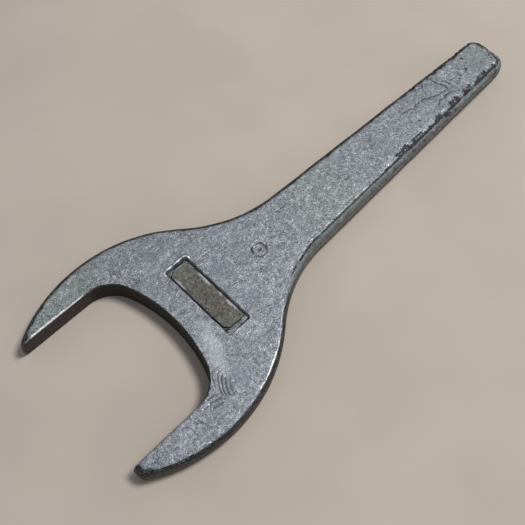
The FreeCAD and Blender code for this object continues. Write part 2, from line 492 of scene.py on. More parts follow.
@dataclass(frozen=True)
class ForgingPlan:
    """Outline of the wrench in plan, in millimetres."""

    reach: float
    end: float
    middle: float
    half_width: float
    half_gap: float
    side_radius: float = 63.0
    widest: float = 24.0
    tip_radius: float = 4.0
    neck_radius: float = 62.0
    root: float = 80.0
    root_half_width: float = 15.4
    end_half_width: float = 9.9
    corner_radius: float = 6.0
    throat: float = 35.84
    throat_radius: float = 62.0
    throat_corner: float = 14.0
    spacing: float = 0.6

    def sweep(
        self, centre: Vector, radius: float, size: float, start: Vector, end: Vector
    ) -> list[Vector]:
        """Points along an arc, without its last one.

        Args:
            centre: Middle of the arc.
            radius: Radius here.
            size: Radius at the parting line, which sets how many points there are.
            start: Point towards which the arc starts.
            end: Point towards which it ends.

        Returns:
            The points in order.
        """
        first = math.atan2(start.y - centre.y, start.x - centre.x)
        last = math.atan2(end.y - centre.y, end.x - centre.x)
        turn = (last - first + math.pi) % (2 * math.pi) - math.pi
        steps = max(3, round(abs(turn) * size / self.spacing))
        angles = [first + turn * step / steps for step in range(steps)]
        return [centre + Vector((math.cos(a), math.sin(a))) * radius for a in angles]

    def straight(self, start: Vector, end: Vector, length: float) -> list[Vector]:
        """Points along a straight run, without its last one, as many as its length asks for."""
        steps = max(3, round(length / self.spacing))
        return [start.lerp(end, step / steps) for step in range(steps)]

    def forged_half(self, inset: float) -> list[Vector]:
        """Points from a jaw's nose to the middle of the handle's end.

        Args:
            inset: How far the edge stands back from the parting line.

        Returns:
            The points of the +Y side, about the forging's own centre line.
        """
        head = Vector((self.widest, self.half_width - self.side_radius))
        x = self.tip_radius - self.reach
        rise = math.sqrt((self.side_radius - self.tip_radius) ** 2 - (x - head.x) ** 2)
        tip = Vector((x, head.y + rise))
        root = Vector((self.root, self.root_half_width))
        along = (Vector((self.end, self.end_half_width)) - root).normalized()
        outward = Vector((-along.y, along.x))
        start = root + outward * self.neck_radius - head
        travel = -start.dot(along)
        travel += math.sqrt(travel ** 2 - start.dot(start) + (self.side_radius + self.neck_radius) ** 2)
        neck = root + outward * self.neck_radius + along * travel
        on_handle = neck - outward * self.neck_radius
        go = (self.end - self.corner_radius + outward.x * self.corner_radius - on_handle.x) / along.x
        corner = on_handle + along * go - outward * self.corner_radius
        handle_start = neck - outward * (self.neck_radius + inset)
        handle_end = corner + outward * (self.corner_radius - inset)
        face = Vector((self.end - inset, corner.y))
        row = self.sweep(
            tip, self.tip_radius - inset, self.tip_radius, tip - Vector((1, 0)), tip + (tip - head)
        )
        row += self.sweep(head, self.side_radius - inset, self.side_radius, tip, neck)
        row += self.sweep(neck, self.neck_radius + inset, self.neck_radius, head, handle_start)
        row += self.straight(handle_start, handle_end, go)
        row += self.sweep(
            corner, self.corner_radius - inset, self.corner_radius, handle_end, corner + Vector((1, 0))
        )
        return row + self.straight(face, Vector((face.x, 0)), corner.y) + [Vector((face.x, 0))]

    def jaw(self, inset: float, outset: float) -> list[Vector]:
        """Points along the machined jaw, from the -Y nose round the throat to the +Y nose.

        Args:
            inset: How far the forged noses stand back.
            outset: How far the machined wall stands back.

        Returns:
            The points in order, without the last one.
        """
        gap = self.half_gap + outset
        back = Vector((self.throat - self.throat_radius, 0))
        radius = self.throat_corner + outset
        y = gap - radius
        x = back.x + math.sqrt((self.throat_radius - self.throat_corner) ** 2 - y ** 2)
        high, low = Vector((x, y)), Vector((x, -y))
        front = self.inset_front(inset)
        row = self.straight(Vector((front, -gap)), Vector((x, -gap)), x + self.reach)
        row += self.sweep(low, radius, self.throat_corner, low - Vector((0, 1)), low + (low - back))
        row += self.sweep(back, self.throat_radius + outset, self.throat_radius, low, high)
        row += self.sweep(high, radius, self.throat_corner, high + (high - back), high + Vector((0, 1)))
        return row + self.straight(Vector((x, gap)), Vector((front, gap)), x + self.reach)

    def inset_front(self, inset: float) -> float:
        """Station of the noses' front faces."""
        return inset - self.reach

    def clear_of_jaw(self, row: list[Vector], gap: float) -> list[Vector]:
        """Straighten the start of a row up to its first point that is well outside the jaw.

        Args:
            row: Points from the jaw's corner round the nose.
            gap: Distance from the middle of the jaw to its flat.

        Returns:
            As many points, none of them inside the jaw.
        """
        outside = next(i for i, point in enumerate(row) if i and abs(point.y) > gap + 0.3)
        start = [row[0].lerp(row[outside], step / outside) for step in range(outside)]
        return start + row[outside:]

    def outline(self, level: Level) -> tuple[np.ndarray, list[Run]]:
        """Closed outline at one level.

        Args:
            level: The level in the section.

        Returns:
            Rows of x, y and how each stretch was made.
        """
        half = self.forged_half(level.inset)
        shift = Vector((0, self.middle))
        upper = [p + shift for p in half]
        lower = [Vector((p.x, -p.y)) + shift for p in half[-2::-1]]
        gap = self.half_gap + level.outset
        front = self.inset_front(level.inset)
        nose = self.half_width - self.half_gap
        first = self.straight(Vector((front, gap)), upper[0], nose)
        last = self.straight(lower[-1], Vector((front, -gap)), nose)[1:]
        jaw = self.jaw(level.inset, level.outset)
        forged = self.clear_of_jaw(first + upper, gap)
        forged += self.clear_of_jaw((lower + last)[::-1], gap)[::-1]
        kinds = [Run.FORGED] * len(forged) + [Run.MACHINED] * len(jaw)
        return np.array([p[:] for p in forged + jaw]), kinds


@dataclass(frozen=True)
class TopFace:
    """Everything sunk, stamped or knocked into the top face, in millimetres."""

    panel: RoundedBox
    panel_depth: float
    wall_run: float
    mark: tuple[float, float]
    mark_radius: float = 3.3
    mark_line: float = 0.7
    mark_dot: float = 0.8
    mark_depth: float = 0.3
    flake_at: float = 197.2
    flake_depth: float = 0.24
    ridge_depth: float = 0.35
    strokes: tuple[Stroke, ...] = (
        Stroke(((33.4, -25.4), (31.2, -28.0), (29.2, -31.0), (28.2, -34.2)), 0.62, 0.26, 0.08),
        Stroke(((33.9, -27.0), (31.6, -29.5), (29.9, -32.2), (29.0, -35.2)), 0.62, 0.30, 0.08),
        Stroke(((34.4, -28.6), (32.3, -30.8), (30.9, -33.2), (30.0, -36.0)), 0.62, 0.28, 0.08),
        Stroke(((34.8, -30.2), (33.2, -32.0), (31.9, -34.4), (31.2, -36.6)), 0.55, 0.20, 0.08),
        Stroke(((32.4, -23.4), (30.0, -26.6), (28.2, -29.8)), 0.50, 0.18, 0.1),
        Stroke(((31.0, -22.6), (28.8, -25.6), (27.4, -28.4)), 0.45, 0.14, 0.1),
        Stroke(((22.4, -30.6), (25.6, -31.0), (28.2, -31.9)), 0.60, 0.24, 0.1),
        Stroke(((22.2, -32.4), (25.6, -32.9), (28.8, -33.9)), 0.70, 0.30, 0.1),
        Stroke(((22.0, -34.2), (25.2, -34.6), (28.2, -35.5)), 0.70, 0.28, 0.1),
        Stroke(((19.6, -32.2), (22.0, -32.6), (24.4, -33.4)), 0.50, 0.18, 0.1),
        Stroke(((26.6, -20.6), (27.4, -23.6), (27.6, -26.4)), 0.45, 0.14, 0.1),
        Stroke(((15.6, -33.0), (17.0, -36.4), (16.6, -39.0)), 0.50, 0.14),
        Stroke(((11.0, -31.6), (12.4, -34.6), (12.0, -37.6)), 0.50, 0.14),
    )
    laps: tuple[Stroke, ...] = (
        Stroke(
            ((197.5, 8.2), (197.0, 5.4), (197.3, 2.8), (198.5, 0.9), (198.9, -1.1), (198.3, -2.8)),
            0.95, 0.34, 0.35,
        ),
        Stroke(((198.3, -2.8), (194.6, -1.7), (190.1, -0.6), (183.2, 1.2)), 0.85, 0.28, 0.5),
        Stroke(((199.6, 2.6), (201.6, 1.0), (201.2, -1.6)), 0.70, 0.24, 0.4),
        Stroke(((209.9, 1.2), (209.4, -0.2), (208.2, -1.6)), 1.30, 0.36, 0.4),
        Stroke(((214.9, -0.2), (213.2, -1.8), (212.0, -2.4)), 1.00, 0.32, 0.3),
        Stroke(((218.6, 4.0), (216.6, 4.6)), 1.10, 0.30, 0.3),
        Stroke(((173.0, 2.4), (178.4, 1.4), (183.2, 1.2)), 0.70, 0.18, 0.6),
        Stroke(((200.0, -4.6), (194.0, -4.2), (188.0, -5.0)), 0.80, 0.20, 0.6),
        Stroke(((192.4, 6.6), (188.6, 5.8), (185.6, 6.4)), 0.70, 0.20, 0.5),
        Stroke(((96.0, 6.4), (99.4, 5.6), (103.0, 6.0)), 0.50, 0.12, 0.4),
        Stroke(((126.0, -2.0), (129.0, -3.2), (132.4, -2.8)), 0.50, 0.12, 0.4),
        Stroke(((61.0, 24.6), (64.0, 22.2), (66.4, 21.4)), 0.45, 0.12, 0.3),
    )
    pits: tuple[Pit, ...] = (
        Pit(197.4, 7.8, 1.7, 0.45),
        Pit(207.4, -2.4, 0.7, 0.26),
        Pit(211.4, 1.4, 0.6, 0.22),
        Pit(214.3, -0.8, 0.8, 0.26),
        Pit(217.6, 4.4, 0.8, 0.26),
        Pit(204.2, -3.4, 0.5, 0.18),
        Pit(175.0, -5.0, 0.7, 0.24),
        Pit(176.2, 0.2, 0.6, 0.20),
        Pit(171.8, -3.0, 0.4, 0.14),
        Pit(222.4, -3.2, 0.6, 0.18),
        Pit(151.2, 3.0, 0.5, 0.14),
        Pit(92.5, -9.2, 0.5, 0.12),
        Pit(4.0, -35.6, 0.6, 0.14),
    )
    # Pale patches of painted sheen: a reflection painted onto the face beside the panel.
    pale: tuple[Patch, ...] = (
        Patch(38.6, -18.0, 26.0, 8.0, 68.0),
        Patch(36.6, -21.6, 12.0, 6.0, 68.0),
    )
    rubbed: tuple[Patch, ...] = (
        Patch(38.4, -32.6, 12.0, 9.0, 70.0),
        Patch(30.6, -31.0, 15.0, 7.0, 60.0),
        Patch(25.0, -35.6, 8.0, 7.0, 60.0),
        Patch(222.0, 0.0, 16.0, 15.0, 0.0),
        Patch(62.0, 4.0, 8.0, 6.0, 0.0),
        Patch(148.0, 4.0, 12.0, 5.0, 5.0),
    )

    def features(self) -> tuple[Stroke | Pit, ...]:
        """All strokes, laps and pits."""
        return self.strokes + self.laps + self.pits

    def samples(self) -> np.ndarray:
        """Extra points that the face's mesh needs."""
        rows = []
        for offset in (0.9, 0.5, 0.25, 0.08, -0.1, -0.3, -0.5, -0.68, -0.9):
            rows.append(self.panel.outline(offset, 0.4))
        for radius in (0.0, 0.4, 0.75, 0.95, 1.3, 1.9, 2.35, 2.6, 2.95, 3.25, 3.5, 3.9):
            count = max(1, round(2 * math.pi * radius / 0.33))
            turns = np.arange(count) * 2 * math.pi / count
            rows.append(np.stack([np.cos(turns), np.sin(turns)], axis=1) * radius + self.mark)
        rows += [feature.samples() for feature in self.features()]
        return thinned(np.vstack(rows), 0.13)

    def flake_step(self, points: np.ndarray) -> np.ndarray:
        """Thickness of scale that has flaked off beyond a ragged line across the handle."""
        x, y = points[:, 0], points[:, 1]
        line = self.flake_at + 0.35 * np.abs(y) + 1.4 * lumps(points, 4.5, 51)
        line += 0.5 * lumps(points, 1.4, 52)
        return self.flake_depth * soft_step(x, line - 0.2, line + 0.2)

    def sink(self, plan: np.ndarray) -> tuple[np.ndarray, np.ndarray, np.ndarray]:
        """How the face departs from flat.

        Args:
            plan: Rows of x, y.

        Returns:
            Depth below the face, dirt and painted shade from 0 to 1, and fresh metal and painted
            highlights from 0 to 1, at each point.
        """
        spots = flat(plan)
        mottle = lumps(spots, 1.6, 7)
        depth, dirt_and_shade, fresh_and_highlight = self.sink_panel(plan, spots)
        from_mark = np.hypot(plan[:, 0] - self.mark[0], plan[:, 1] - self.mark[1])
        from_mark += 0.35 * lumps(spots, 2.4, 17)
        off_line = from_mark - (self.mark_radius - self.mark_line / 2)
        ring = 1 - soft_step(np.abs(off_line), 0.15, 0.5)
        dot = 1 - soft_step(from_mark, self.mark_dot * 0.55, self.mark_dot * 1.25)
        stamp = np.maximum(ring, dot) * np.clip(0.75 + 1.1 * lumps(spots, 1.8, 5), 0.15, 1.0)
        depth += stamp * self.mark_depth
        dirt_and_shade = np.maximum(dirt_and_shade, np.clip(stamp, 0.0, 0.9))
        edge = bell(off_line, -0.62, 0.25) + bell(off_line, 0.62, 0.25)
        fresh_and_highlight = np.maximum(fresh_and_highlight, edge * soft_step(-mottle, -0.2, 0.4))
        for stroke in self.strokes:
            weight = stroke.weight(plan)
            depth += weight * stroke.depth
            dirt_and_shade = np.maximum(dirt_and_shade, 0.8 * soft_step(weight, 0.35, 0.95))
            fresh_and_highlight = np.maximum(fresh_and_highlight, 0.9 * weight * (1 - weight) * 4)
        blotchy = soft_step(mottle, -0.35, 0.15)
        for cut in self.laps + self.pits:
            weight = cut.weight(plan) * (0.6 + 0.4 * blotchy)
            depth += weight * cut.depth
            dirt_and_shade = np.maximum(dirt_and_shade, weight)
        return depth, dirt_and_shade, fresh_and_highlight

    def sink_panel(
        self, plan: np.ndarray, spots: np.ndarray
    ) -> tuple[np.ndarray, np.ndarray, np.ndarray]:
        """Depth, dirt and painted shade, and fresh metal and painted highlights of the sunk panel alone.

        Args:
            plan: Rows of x, y.
            spots: The same points with a height of zero.

        Returns:
            Depth, dirt and painted shade, and fresh metal and painted highlights at each point.
        """
        across, along = plan[:, 0] - self.panel.x, plan[:, 1] - self.panel.y
        half = self.panel.length_y / 2
        plain = self.panel.distance(plan)
        uneven = 0.15 * lumps(spots, 2.6, 3) + 0.06 * lumps(spots, 0.9, 4)
        away = plain + uneven * (plain > -2)
        pocket = soft_step(-away, -0.1, self.wall_run + 0.12)
        plus_end = soft_step(along, half - 2.6, half - 0.8)
        minus_end = soft_step(-along, half - 2.6, half - 0.8)
        lip = bell(away, 0.4, 0.4) * (0.06 + 0.16 * plus_end)
        ridge = bell(along + half, 2.2, 0.35) * (plain < -0.7)
        depth = pocket * self.panel_depth - lip - self.ridge_depth * ridge
        # Painted shade: a dark line in the gap round the plate, weaker along its -Y end.
        gap = soft_step(-away, 0.28, 0.55) * (1 - 0.75 * minus_end * (plain < -0.5))
        # Painted shadow that the -Y end wall casts on the pocket floor, towards the handle side.
        groove = minus_end * soft_step(-along, half - 1.5, half - 0.9)
        groove *= soft_step(across, -1.5, 1.0) * pocket
        specks = plus_end * bell(away, 0.0, 0.45) * soft_step(lumps(spots, 1.5, 14), -0.05, 0.25)
        gap *= 0.55 + 0.45 * soft_step(lumps(spots, 3.0, 13), -0.35, 0.05)
        dirt_and_shade = np.maximum.reduce([gap, groove, 0.8 * specks])
        # Painted highlight along the pocket's rim, strongest at the +Y end.
        rim = bell(away, 0.3, 0.38)
        fresh_and_highlight = rim * (0.30 + 0.5 * lumps(spots, 3.0, 6) + 0.55 * plus_end + 0.2 * minus_end)
        # Painted light on the floor strip beside the plate's -Y end, as if lit by the lamp.
        fresh_and_highlight = np.maximum(fresh_and_highlight, 0.9 * ridge * soft_step(lumps(spots, 1.8, 15), -0.5, 0.1))
        return depth, dirt_and_shade, fresh_and_highlight


class Recipe:
    """Writes one node material whose patterns are in millimetres."""

    def __init__(self, name: str) -> None:
        """Start an empty material.

        Args:
            name: Name of the material.
        """
        self.material = bpy.data.materials.new(name)
        self.material.use_nodes = True
        self.tree = self.material.node_tree
        self.tree.nodes.clear()
        self.shader = self.tree.nodes.new("ShaderNodeBsdfPrincipled")
        output = self.tree.nodes.new("ShaderNodeOutputMaterial")
        self.tree.links.new(self.shader.outputs["BSDF"], output.inputs["Surface"])
        place = self.tree.nodes.new("ShaderNodeTexCoord")
        scale = self.tree.nodes.new("ShaderNodeMapping")
        scale.inputs["Scale"].default_value = (1 / MM, 1 / MM, 1 / MM)
        self.tree.links.new(place.outputs["Object"], scale.inputs["Vector"])
        self.place = scale.outputs["Vector"]

    def put(self, socket: bpy.types.NodeSocket, value: object) -> None:
        """Link a socket to another one, or set its value."""
        if isinstance(value, bpy.types.NodeSocket):
            self.tree.links.new(value, socket)
        else:
            socket.default_value = value

    def lumps(
        self,
        size: float,
        detail: float = 3.0,
        rough: float = 0.55,
        bend: float = 0.0,
        turn: float = 0.0,
        stretch: tuple[float, float, float] = (1.0, 1.0, 1.0),
    ) -> bpy.types.NodeSocket:
        """Noise pattern.

        Args:
            size: Width of a lump in millimetres.
            detail: How many finer layers it has.
            rough: How strong those are.
            bend: How much the pattern twists.
            turn: Turn about Z in degrees, before the scale.
            stretch: Scale along each axis.

        Returns:
            A value from 0 to 1.
        """
        where = self.place
        if stretch != (1.0, 1.0, 1.0):
            turned = self.tree.nodes.new("ShaderNodeMapping")
            turned.inputs["Rotation"].default_value = (0.0, 0.0, math.radians(turn))
            self.tree.links.new(where, turned.inputs["Vector"])
            scale = self.tree.nodes.new("ShaderNodeMapping")
            scale.inputs["Scale"].default_value = stretch
            self.tree.links.new(turned.outputs["Vector"], scale.inputs["Vector"])
            where = scale.outputs["Vector"]
        node = self.tree.nodes.new("ShaderNodeTexNoise")
        self.tree.links.new(where, node.inputs["Vector"])
        node.inputs["Scale"].default_value = 1 / size
        node.inputs["Detail"].default_value = detail
        node.inputs["Roughness"].default_value = rough
        node.inputs["Distortion"].default_value = bend
        return node.outputs["Fac"]

    def cells(self, size: float) -> bpy.types.NodeSocket:
        """Distance pattern of scattered cells of one size."""
        node = self.tree.nodes.new("ShaderNodeTexVoronoi")
        self.tree.links.new(self.place, node.inputs["Vector"])
        node.inputs["Scale"].default_value = 1 / size
        return node.outputs["Distance"]

    def layer(self, layer: Layer) -> bpy.types.NodeSocket:
        """Value painted on the mesh."""
        node = self.tree.nodes.new("ShaderNodeAttribute")
        node.attribute_name = layer.value
        return node.outputs["Fac"]

    def remap(
        self,
        value: bpy.types.NodeSocket,
        low: float,
        high: float,
        to_low: float = 0.0,
        to_high: float = 1.0,
    ) -> bpy.types.NodeSocket:
        """Smooth rise of a value from to_low at low to to_high at high."""
        node = self.tree.nodes.new("ShaderNodeMapRange")
        node.interpolation_type = "SMOOTHSTEP"
        names = ("Value", "From Min", "From Max", "To Min", "To Max")
        for name, item in zip(names, (value, low, high, to_low, to_high)):
            self.put(node.inputs[name], item)
        return node.outputs["Result"]

    def work_out(self, kind: str, first: object, second: object) -> bpy.types.NodeSocket:
        """Result of one kind of sum on two values, kept from 0 to 1."""
        node = self.tree.nodes.new("ShaderNodeMath")
        node.operation = kind
        node.use_clamp = True
        self.put(node.inputs[0], first)
        self.put(node.inputs[1], second)
        return node.outputs[0]

    def times(self, first: object, second: object) -> bpy.types.NodeSocket:
        """Product of two values."""
        return self.work_out("MULTIPLY", first, second)

    def plus(self, first: object, second: object) -> bpy.types.NodeSocket:
        """Two values added."""
        return self.work_out("ADD", first, second)

    def minus(self, first: object, second: object) -> bpy.types.NodeSocket:
        """First value less the second."""
        return self.work_out("SUBTRACT", first, second)

    def blend(self, amount: object, first: object, second: object) -> bpy.types.NodeSocket:
        """Colour between two colours."""
        node = self.tree.nodes.new("ShaderNodeMix")
        node.data_type = "RGBA"
        self.put(node.inputs[0], amount)
        self.put(node.inputs[6], first)
        self.put(node.inputs[7], second)
        return node.outputs[2]

    def veins(self, size: float, thin: float, bend: float) -> bpy.types.NodeSocket:
        """Thin wavy lines where a noise pattern passes its middle value."""
        pattern = self.lumps(size, 2.0, 0.5, bend)
        off_middle = self.tree.nodes.new("ShaderNodeMath")
        off_middle.operation = "SUBTRACT"
        self.put(off_middle.inputs[0], pattern)
        off_middle.inputs[1].default_value = 0.5
        distance = self.tree.nodes.new("ShaderNodeMath")
        distance.operation = "ABSOLUTE"
        self.tree.links.new(off_middle.outputs[0], distance.inputs[0])
        return self.remap(distance.outputs[0], 0.0, thin, 1.0, 0.0)

    def mottled(
        self,
        base: object,
        pattern: bpy.types.NodeSocket,
        light: tuple[float, float, float, Colour],
        dark: tuple[float, float, float, Colour],
        limit: bpy.types.NodeSocket | None = None,
    ) -> bpy.types.NodeSocket:
        """Lighten a colour where a pattern is high and darken it where the pattern is low.

        Args:
            base: The colour to start from.
            pattern: Value from 0 to 1.
            light: Where the light patches start and are full, how strong they are, their colour.
            dark: The same for the dark patches.
            limit: Share of the effect at each place, 1 everywhere if left out.

        Returns:
            The new colour.
        """
        amounts = []
        for start, full, strength, _ in (light, dark):
            amount = self.remap(pattern, start, full, 0.0, strength)
            amounts.append(amount if limit is None else self.times(amount, limit))
        for amount, (*_, colour) in zip(amounts, (light, dark)):
            base = self.blend(amount, base, colour)
        return base

    def bump(
        self, height: bpy.types.NodeSocket, distance: float, strength: float, under: object = None
    ) -> bpy.types.NodeSocket:
        """Small relief.

        Args:
            height: Value from 0 to 1.
            distance: Height in millimetres where the value is 1.
            strength: Share of the effect.
            under: Relief that lies below this one.

        Returns:
            The bent normal.
        """
        node = self.tree.nodes.new("ShaderNodeBump")
        node.inputs["Strength"].default_value = strength
        node.inputs["Distance"].default_value = distance * MM
        self.tree.links.new(height, node.inputs["Height"])
        if under is not None:
            self.tree.links.new(under, node.inputs["Normal"])
        return node.outputs["Normal"]

    def finish(self, colour: object, rough: object, metal: object, normal: object) -> bpy.types.Material:
        """Set the shader's colour, roughness, metal share and relief, and return the material."""
        self.put(self.shader.inputs["Base Color"], colour)
        self.put(self.shader.inputs["Roughness"], rough)
        self.put(self.shader.inputs["Metallic"], metal)
        self.put(self.shader.inputs["Normal"], normal)
        self.shader.inputs["Specular IOR Level"].default_value = 0.3
        return self.material


@dataclass(frozen=True)
class ForgedSteelFinish:
    """Old drop-forged steel: mottled blue-grey faces with a painted sheen, dark scaly walls with painted
    shade on the lower half and in the throat, and bright worn edges with painted highlights.
    """

    light: Colour = (0.405, 0.437, 0.458, 1)
    middle: Colour = (0.196, 0.221, 0.239, 1)
    dark: Colour = (0.066, 0.073, 0.080, 1)
    cool: Colour = (0.196, 0.207, 0.252, 1)
    green: Colour = (0.196, 0.232, 0.212, 1)
    speck: Colour = (0.78, 0.80, 0.81, 1)
    scale: Colour = (0.018, 0.015, 0.013, 1)
    wall: Colour = (0.054, 0.058, 0.056, 1)
    stain: Colour = (0.155, 0.130, 0.128, 1)
    # Dark patina of the machined flats, made darker still as painted shade.
    jaw: Colour = (0.052, 0.039, 0.041, 1)

    def material(self) -> bpy.types.Material:
        """Make the material."""
        mix = Recipe("forged_steel_finish")
        patches = mix.lumps(6.0, 4.0, 0.6, 0.6)
        blotches = mix.lumps(1.5, 4.0, 0.65, 0.5)
        grain = mix.lumps(0.50, 3.0, 0.62, 0.8, 45.0, (0.62, 1.0, 1.0))
        base = self.skin(mix, patches, blotches, grain)
        broken = mix.lumps(0.7, 4.0, 0.68)
        # Dark scaly walls, carrying painted shade on the lower half, the +Y side and the +Y nose.
        base = mix.blend(mix.layer(Layer.WALL), base, self.wall_colour(mix, blotches, grain, broken))
        # Machined flats: the dark jaw colour, patina darkened as painted shade, broken by scale.
        machined = mix.blend(mix.remap(broken, 0.4, 0.65), self.jaw, self.scale)
        base = mix.blend(mix.layer(Layer.JAW), base, machined)
        # Near-black scale, which also carries the painted shade of the throat.
        flakes = mix.remap(self.ragged(mix, Layer.SCALE_AND_SHADE, 0.62, broken, 1.1), 0.88, 1.02)
        base = mix.blend(flakes, base, self.scale)
        # Worn metal and painted highlights, brightened towards the speck colour.
        wear = mix.remap(self.ragged(mix, Layer.WEAR_AND_HIGHLIGHT, 0.6, broken, 0.8), 0.68, 0.86)
        base = mix.blend(mix.times(wear, 0.9), base, self.speck)
        # Dirt, with painted shade in the panel's gap and under its -Y end wall, darkened towards the scale
        # colour.
        base = mix.blend(mix.times(mix.layer(Layer.DIRT_AND_SHADE), 0.88), base, self.scale)
        rough = mix.remap(blotches, 0.3, 0.7, 0.58, 0.38)
        rough = mix.minus(rough, mix.times(wear, 0.12))
        rough = mix.plus(rough, mix.times(flakes, 0.25))
        metal = mix.remap(flakes, 0.0, 1.0, 0.5, 0.05)
        relief = mix.bump(patches, 0.5, 0.5)
        relief = mix.bump(blotches, 0.35, 0.9, relief)
        relief = mix.bump(grain, 0.16, 1.0, relief)
        return mix.finish(base, rough, metal, relief)

    def skin(
        self,
        mix: Recipe,
        patches: bpy.types.NodeSocket,
        blotches: bpy.types.NodeSocket,
        grain: bpy.types.NodeSocket,
    ) -> bpy.types.NodeSocket:
        """Colour of the forged faces, lightened by a painted sheen where the pale patches lie.

        Args:
            mix: The material.
            patches: Wide pattern.
            blotches: Middle pattern.
            grain: Fine pattern.

        Returns:
            The colour.
        """
        rubbed = mix.layer(Layer.RUBBED)
        pale = mix.layer(Layer.SHEEN)
        calm = mix.remap(mix.lumps(8.0, 2.0), 0.40, 0.58, 0.72, 1.15)
        crisp = mix.times(mix.remap(rubbed, 0.0, 1.0, 1.0, 0.3), calm)
        tint = mix.lumps(30.0, 1.0)
        greener = mix.times(mix.layer(Layer.GREEN), mix.remap(tint, 0.3, 0.6, 0.6, 1.0))
        base = mix.blend(greener, self.cool, self.green)
        base = mix.blend(0.35, base, self.middle)
        base = mix.mottled(base, patches, (0.5, 0.72, 0.35, self.light), (0.46, 0.28, 0.35, self.dark))
        for pattern, light, dark, strength in (
            (blotches, (0.5, 0.68), (0.5, 0.32), 0.5),
            (grain, (0.52, 0.68), (0.48, 0.34), 0.75),
        ):
            base = mix.mottled(
                base, pattern, (*light, strength, self.light), (*dark, strength, self.dark), crisp
            )
        where = mix.remap(mix.lumps(2.6, 2.0), 0.46, 0.58)
        streaks = mix.times(mix.times(mix.veins(1.7, 0.032, 1.4), where), crisp)
        base = mix.blend(mix.times(streaks, 0.6), base, self.speck)
        creases = mix.times(mix.veins(2.2, 0.03, 1.8), mix.remap(mix.lumps(3.4, 2.0), 0.48, 0.58))
        base = mix.blend(mix.times(creases, 0.55), base, self.dark)
        dots = mix.remap(mix.cells(0.7), 0.30, 0.14)
        specks = mix.times(mix.times(dots, mix.remap(mix.lumps(1.9, 2.0), 0.5, 0.6)), crisp)
        base = mix.blend(mix.times(specks, 0.5), base, self.speck)
        # Painted sheen: the pale patches lighten the face towards the light colour.
        return mix.blend(mix.times(pale, 0.62), base, self.light)

    def wall_colour(
        self,
        mix: Recipe,
        blotches: bpy.types.NodeSocket,
        grain: bpy.types.NodeSocket,
        broken: bpy.types.NodeSocket,
    ) -> bpy.types.NodeSocket:
        """Colour of the forged walls, stained along one side of the handle.

        Args:
            mix: The material.
            blotches: Middle pattern.
            grain: Fine pattern.
            broken: Ragged pattern.

        Returns:
            The colour.
        """
        colour = mix.blend(mix.remap(blotches, 0.38, 0.62), self.wall, self.scale)
        colour = mix.blend(mix.remap(grain, 0.53, 0.70, 0.0, 0.8), colour, self.middle)
        stained = mix.blend(mix.remap(blotches, 0.40, 0.60), self.stain, self.middle)
        stained = mix.blend(mix.remap(broken, 0.46, 0.34), stained, self.wall)
        return mix.blend(mix.layer(Layer.STAIN), colour, stained)

    def ragged(
        self, mix: Recipe, layer: Layer, strength: float, broken: bpy.types.NodeSocket, breaking: float
    ) -> bpy.types.NodeSocket:
        """Painted layer with a ragged pattern added, so that its edge breaks up."""
        return mix.plus(mix.times(mix.layer(layer), strength), mix.times(broken, breaking))


@dataclass(frozen=True)
class PlateFinish:
    """Dull grey-olive plate with a brown middle, pale scraped edges and painted shade on its sides."""

    base: Colour = (0.118, 0.124, 0.112, 1)
    brown: Colour = (0.104, 0.090, 0.082, 1)
    pale: Colour = (0.380, 0.400, 0.385, 1)
    dark: Colour = (0.034, 0.032, 0.027, 1)

    def material(self) -> bpy.types.Material:
        """Make the material."""
        mix = Recipe("marking_plate_finish")
        stains = mix.lumps(4.0, 4.0, 0.6, 0.5)
        mottle = mix.lumps(1.0, 4.0, 0.66, 0.5)
        grain = mix.lumps(0.42, 2.0, 0.6)
        stained = mix.times(mix.layer(Layer.STAIN), mix.remap(stains, 0.34, 0.56, 0.35, 1.0))
        base = mix.blend(stained, self.base, self.brown)
        base = mix.mottled(base, mottle, (0.52, 0.72, 0.4, self.pale), (0.48, 0.32, 0.95, self.dark))
        base = mix.blend(mix.remap(grain, 0.46, 0.32, 0.0, 0.55), base, self.dark)
        base = mix.blend(mix.times(mix.veins(2.4, 0.03, 1.6), 0.5), base, self.dark)
        base = mix.blend(mix.times(mix.veins(3.2, 0.022, 1.2), 0.35), base, self.pale)
        # Painted shade on the slab's sides, darkened towards the dark colour.
        base = mix.blend(mix.times(mix.layer(Layer.DIRT_AND_SHADE), 0.92), base, self.dark)
        scraped = mix.times(mix.layer(Layer.WEAR_AND_HIGHLIGHT), mix.remap(mottle, 0.36, 0.52, 0.45, 1.0))
        base = mix.blend(scraped, base, self.pale)
        rough = mix.remap(mottle, 0.3, 0.7, 0.82, 0.58)
        relief = mix.bump(stains, 0.3, 0.6)
        relief = mix.bump(mottle, 0.25, 0.9, relief)
        relief = mix.bump(grain, 0.06, 0.8, relief)
        return mix.finish(base, rough, 0.15, relief)


@dataclass(frozen=True)
class FloorFinish:
    """Plain pale floor."""

    base: Colour = (0.465, 0.412, 0.362, 1)
    shade: Colour = (0.436, 0.388, 0.340, 1)

    def material(self) -> bpy.types.Material:
        """Make the material."""
        mix = Recipe("floor_finish")
        cloud = mix.lumps(60.0, 2.0)
        colour = mix.blend(mix.remap(cloud, 0.35, 0.65), self.base, self.shade)
        relief = mix.bump(mix.lumps(1.5, 2.0), 0.05, 0.15)
        return mix.finish(colour, 0.9, 0.0, relief)


@dataclass(frozen=True)
class RimMarks:
    """Marks along the top edge of the forging, each from 0 to 1 at each point of its mesh."""

    line: np.ndarray
    # Bright line just inside the dark line: worn metal with a painted highlight.
    light: np.ndarray
    chips: np.ndarray
    bites: np.ndarray
    nicks: np.ndarray


